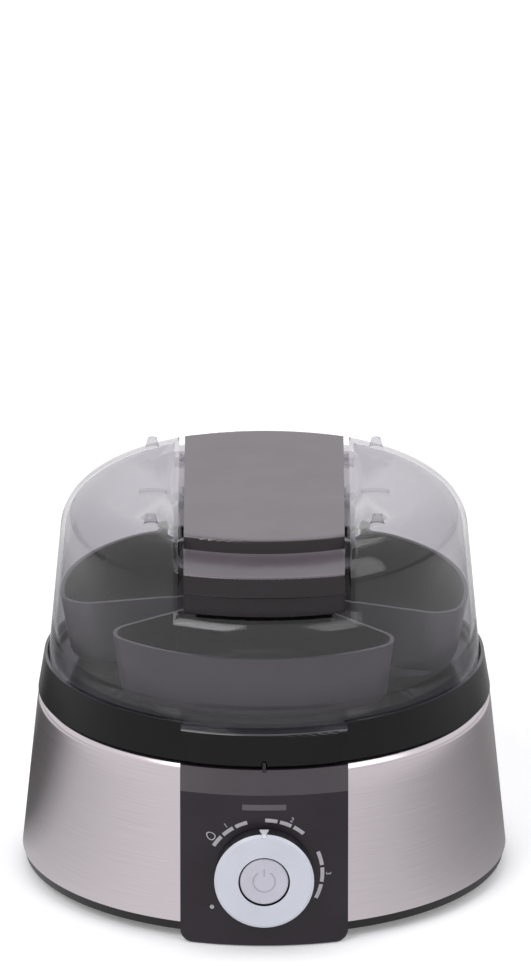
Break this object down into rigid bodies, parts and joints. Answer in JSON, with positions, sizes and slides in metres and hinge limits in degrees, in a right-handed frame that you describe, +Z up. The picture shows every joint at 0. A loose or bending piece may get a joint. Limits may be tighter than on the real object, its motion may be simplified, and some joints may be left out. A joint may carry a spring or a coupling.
{
  "type": "electric egg cooker",
  "caption": "Round countertop egg cooker: heated steel base with a dial and button panel, lift-out egg rack, poaching tray and clear domed lid with a grip band.",
  "frame": {"origin": "middle of the footprint, on the table under the cooker", "axes": "+Z up along the cooker's axis, -Y towards the control panel, +Y towards the cord entry, +X to the right of someone facing the panel"},
  "size_m": [0.2052, 0.2272, 0.1719],
  "materials": {
    "black_plastic": "fine-grained satin",
    "black_rubber": "matte",
    "shell_steel": "brushed round the cooker",
    "seal_silicone": "matte",
    "heat_plate_aluminium": "cast",
    "element_steel": "annealed",
    "plated_steel": "zinc plated",
    "phenolic_brown": "moulded",
    "fuse_metal": "plain",
    "board_green": "lacquered",
    "component_black": "moulded",
    "relay_blue": "moulded",
    "terminal_green": "moulded",
    "plunger_white": "moulded",
    "lead_insulation": "glass-silk sleeve",
    "earth_insulation": "extruded",
    "lens_smoked": "polished",
    "dial_silver": "satin silver",
    "pointer_white": "smooth",
    "button_silver": "satin silver",
    "rack_plastic": "satin",
    "tray_plastic": "smooth",
    "lid_clear": "clear, faintly grey",
    "handle_grey": "satin"
  },
  "bodies": {
    "base": {"base_pan": "black_plastic", "tie_studs": "plated_steel", "tie_nuts": "plated_steel", "rubber_feet": "black_rubber", "steel_shell": "shell_steel", "heating_dish": "shell_steel", "dish_seal": "seal_silicone", "heat_plate": "heat_plate_aluminium", "heating_element": "element_steel", "thermostat": "phenolic_brown", "thermal_fuse": "fuse_metal", "fuse_clip": "heat_plate_aluminium", "control_panel": "black_plastic", "board_screws": "plated_steel", "indicator_lens": "lens_smoked", "indicator_lamp": "lens_smoked", "circuit_board": "board_green", "rotary_sensor": "component_black", "push_switch": "component_black", "relay": "relay_blue", "buzzer": "component_black", "terminal_block": "terminal_green", "heater_leads": "lead_insulation", "earth_lead": "earth_insulation", "earth_tag": "plated_steel", "button_guide": "black_plastic", "cord_gland": "black_rubber", "cord_clamp": "black_plastic", "clamp_screws": "plated_steel"},
    "dial": {"dial_knob": "dial_silver", "dial_pointer": "pointer_white", "dial_sleeve": "dial_silver", "dial_clip": "plated_steel"},
    "button": {"power_button": "button_silver", "switch_plunger": "plunger_white"},
    "rack": {"egg_rack": "rack_plastic"},
    "tray": {"poaching_tray": "tray_plastic"},
    "lid": {"lid_shell": "lid_clear", "lid_handle": "handle_grey", "handle_screws": "plated_steel"}
  },
  "joints": [
    {"name": "dial_turn", "type": "hinge", "parent": "base", "child": "dial", "pos_m": [0, -0.1, 0.0324], "axis": [0, 1, 0], "range_deg": [-125, 117.5]},
    {"name": "button_press", "type": "slide", "parent": "base", "child": "button", "axis": [0, 1, 0], "range_m": [0, 0.0012], "stiffness_N_per_m": 1500, "springref_m": -0.001},
    {"name": "rack_lift", "type": "slide", "parent": "base", "child": "rack", "axis": [0, 0, 1], "range_m": [0, 0.0499]},
    {"name": "tray_lift", "type": "slide", "parent": "rack", "child": "tray", "axis": [0, 0, 1], "range_m": [0, 0.0464]},
    {"name": "lid_lift", "type": "slide", "parent": "tray", "child": "lid", "axis": [0, 0, 1], "range_m": [0, 0.09015]}
  ]
}
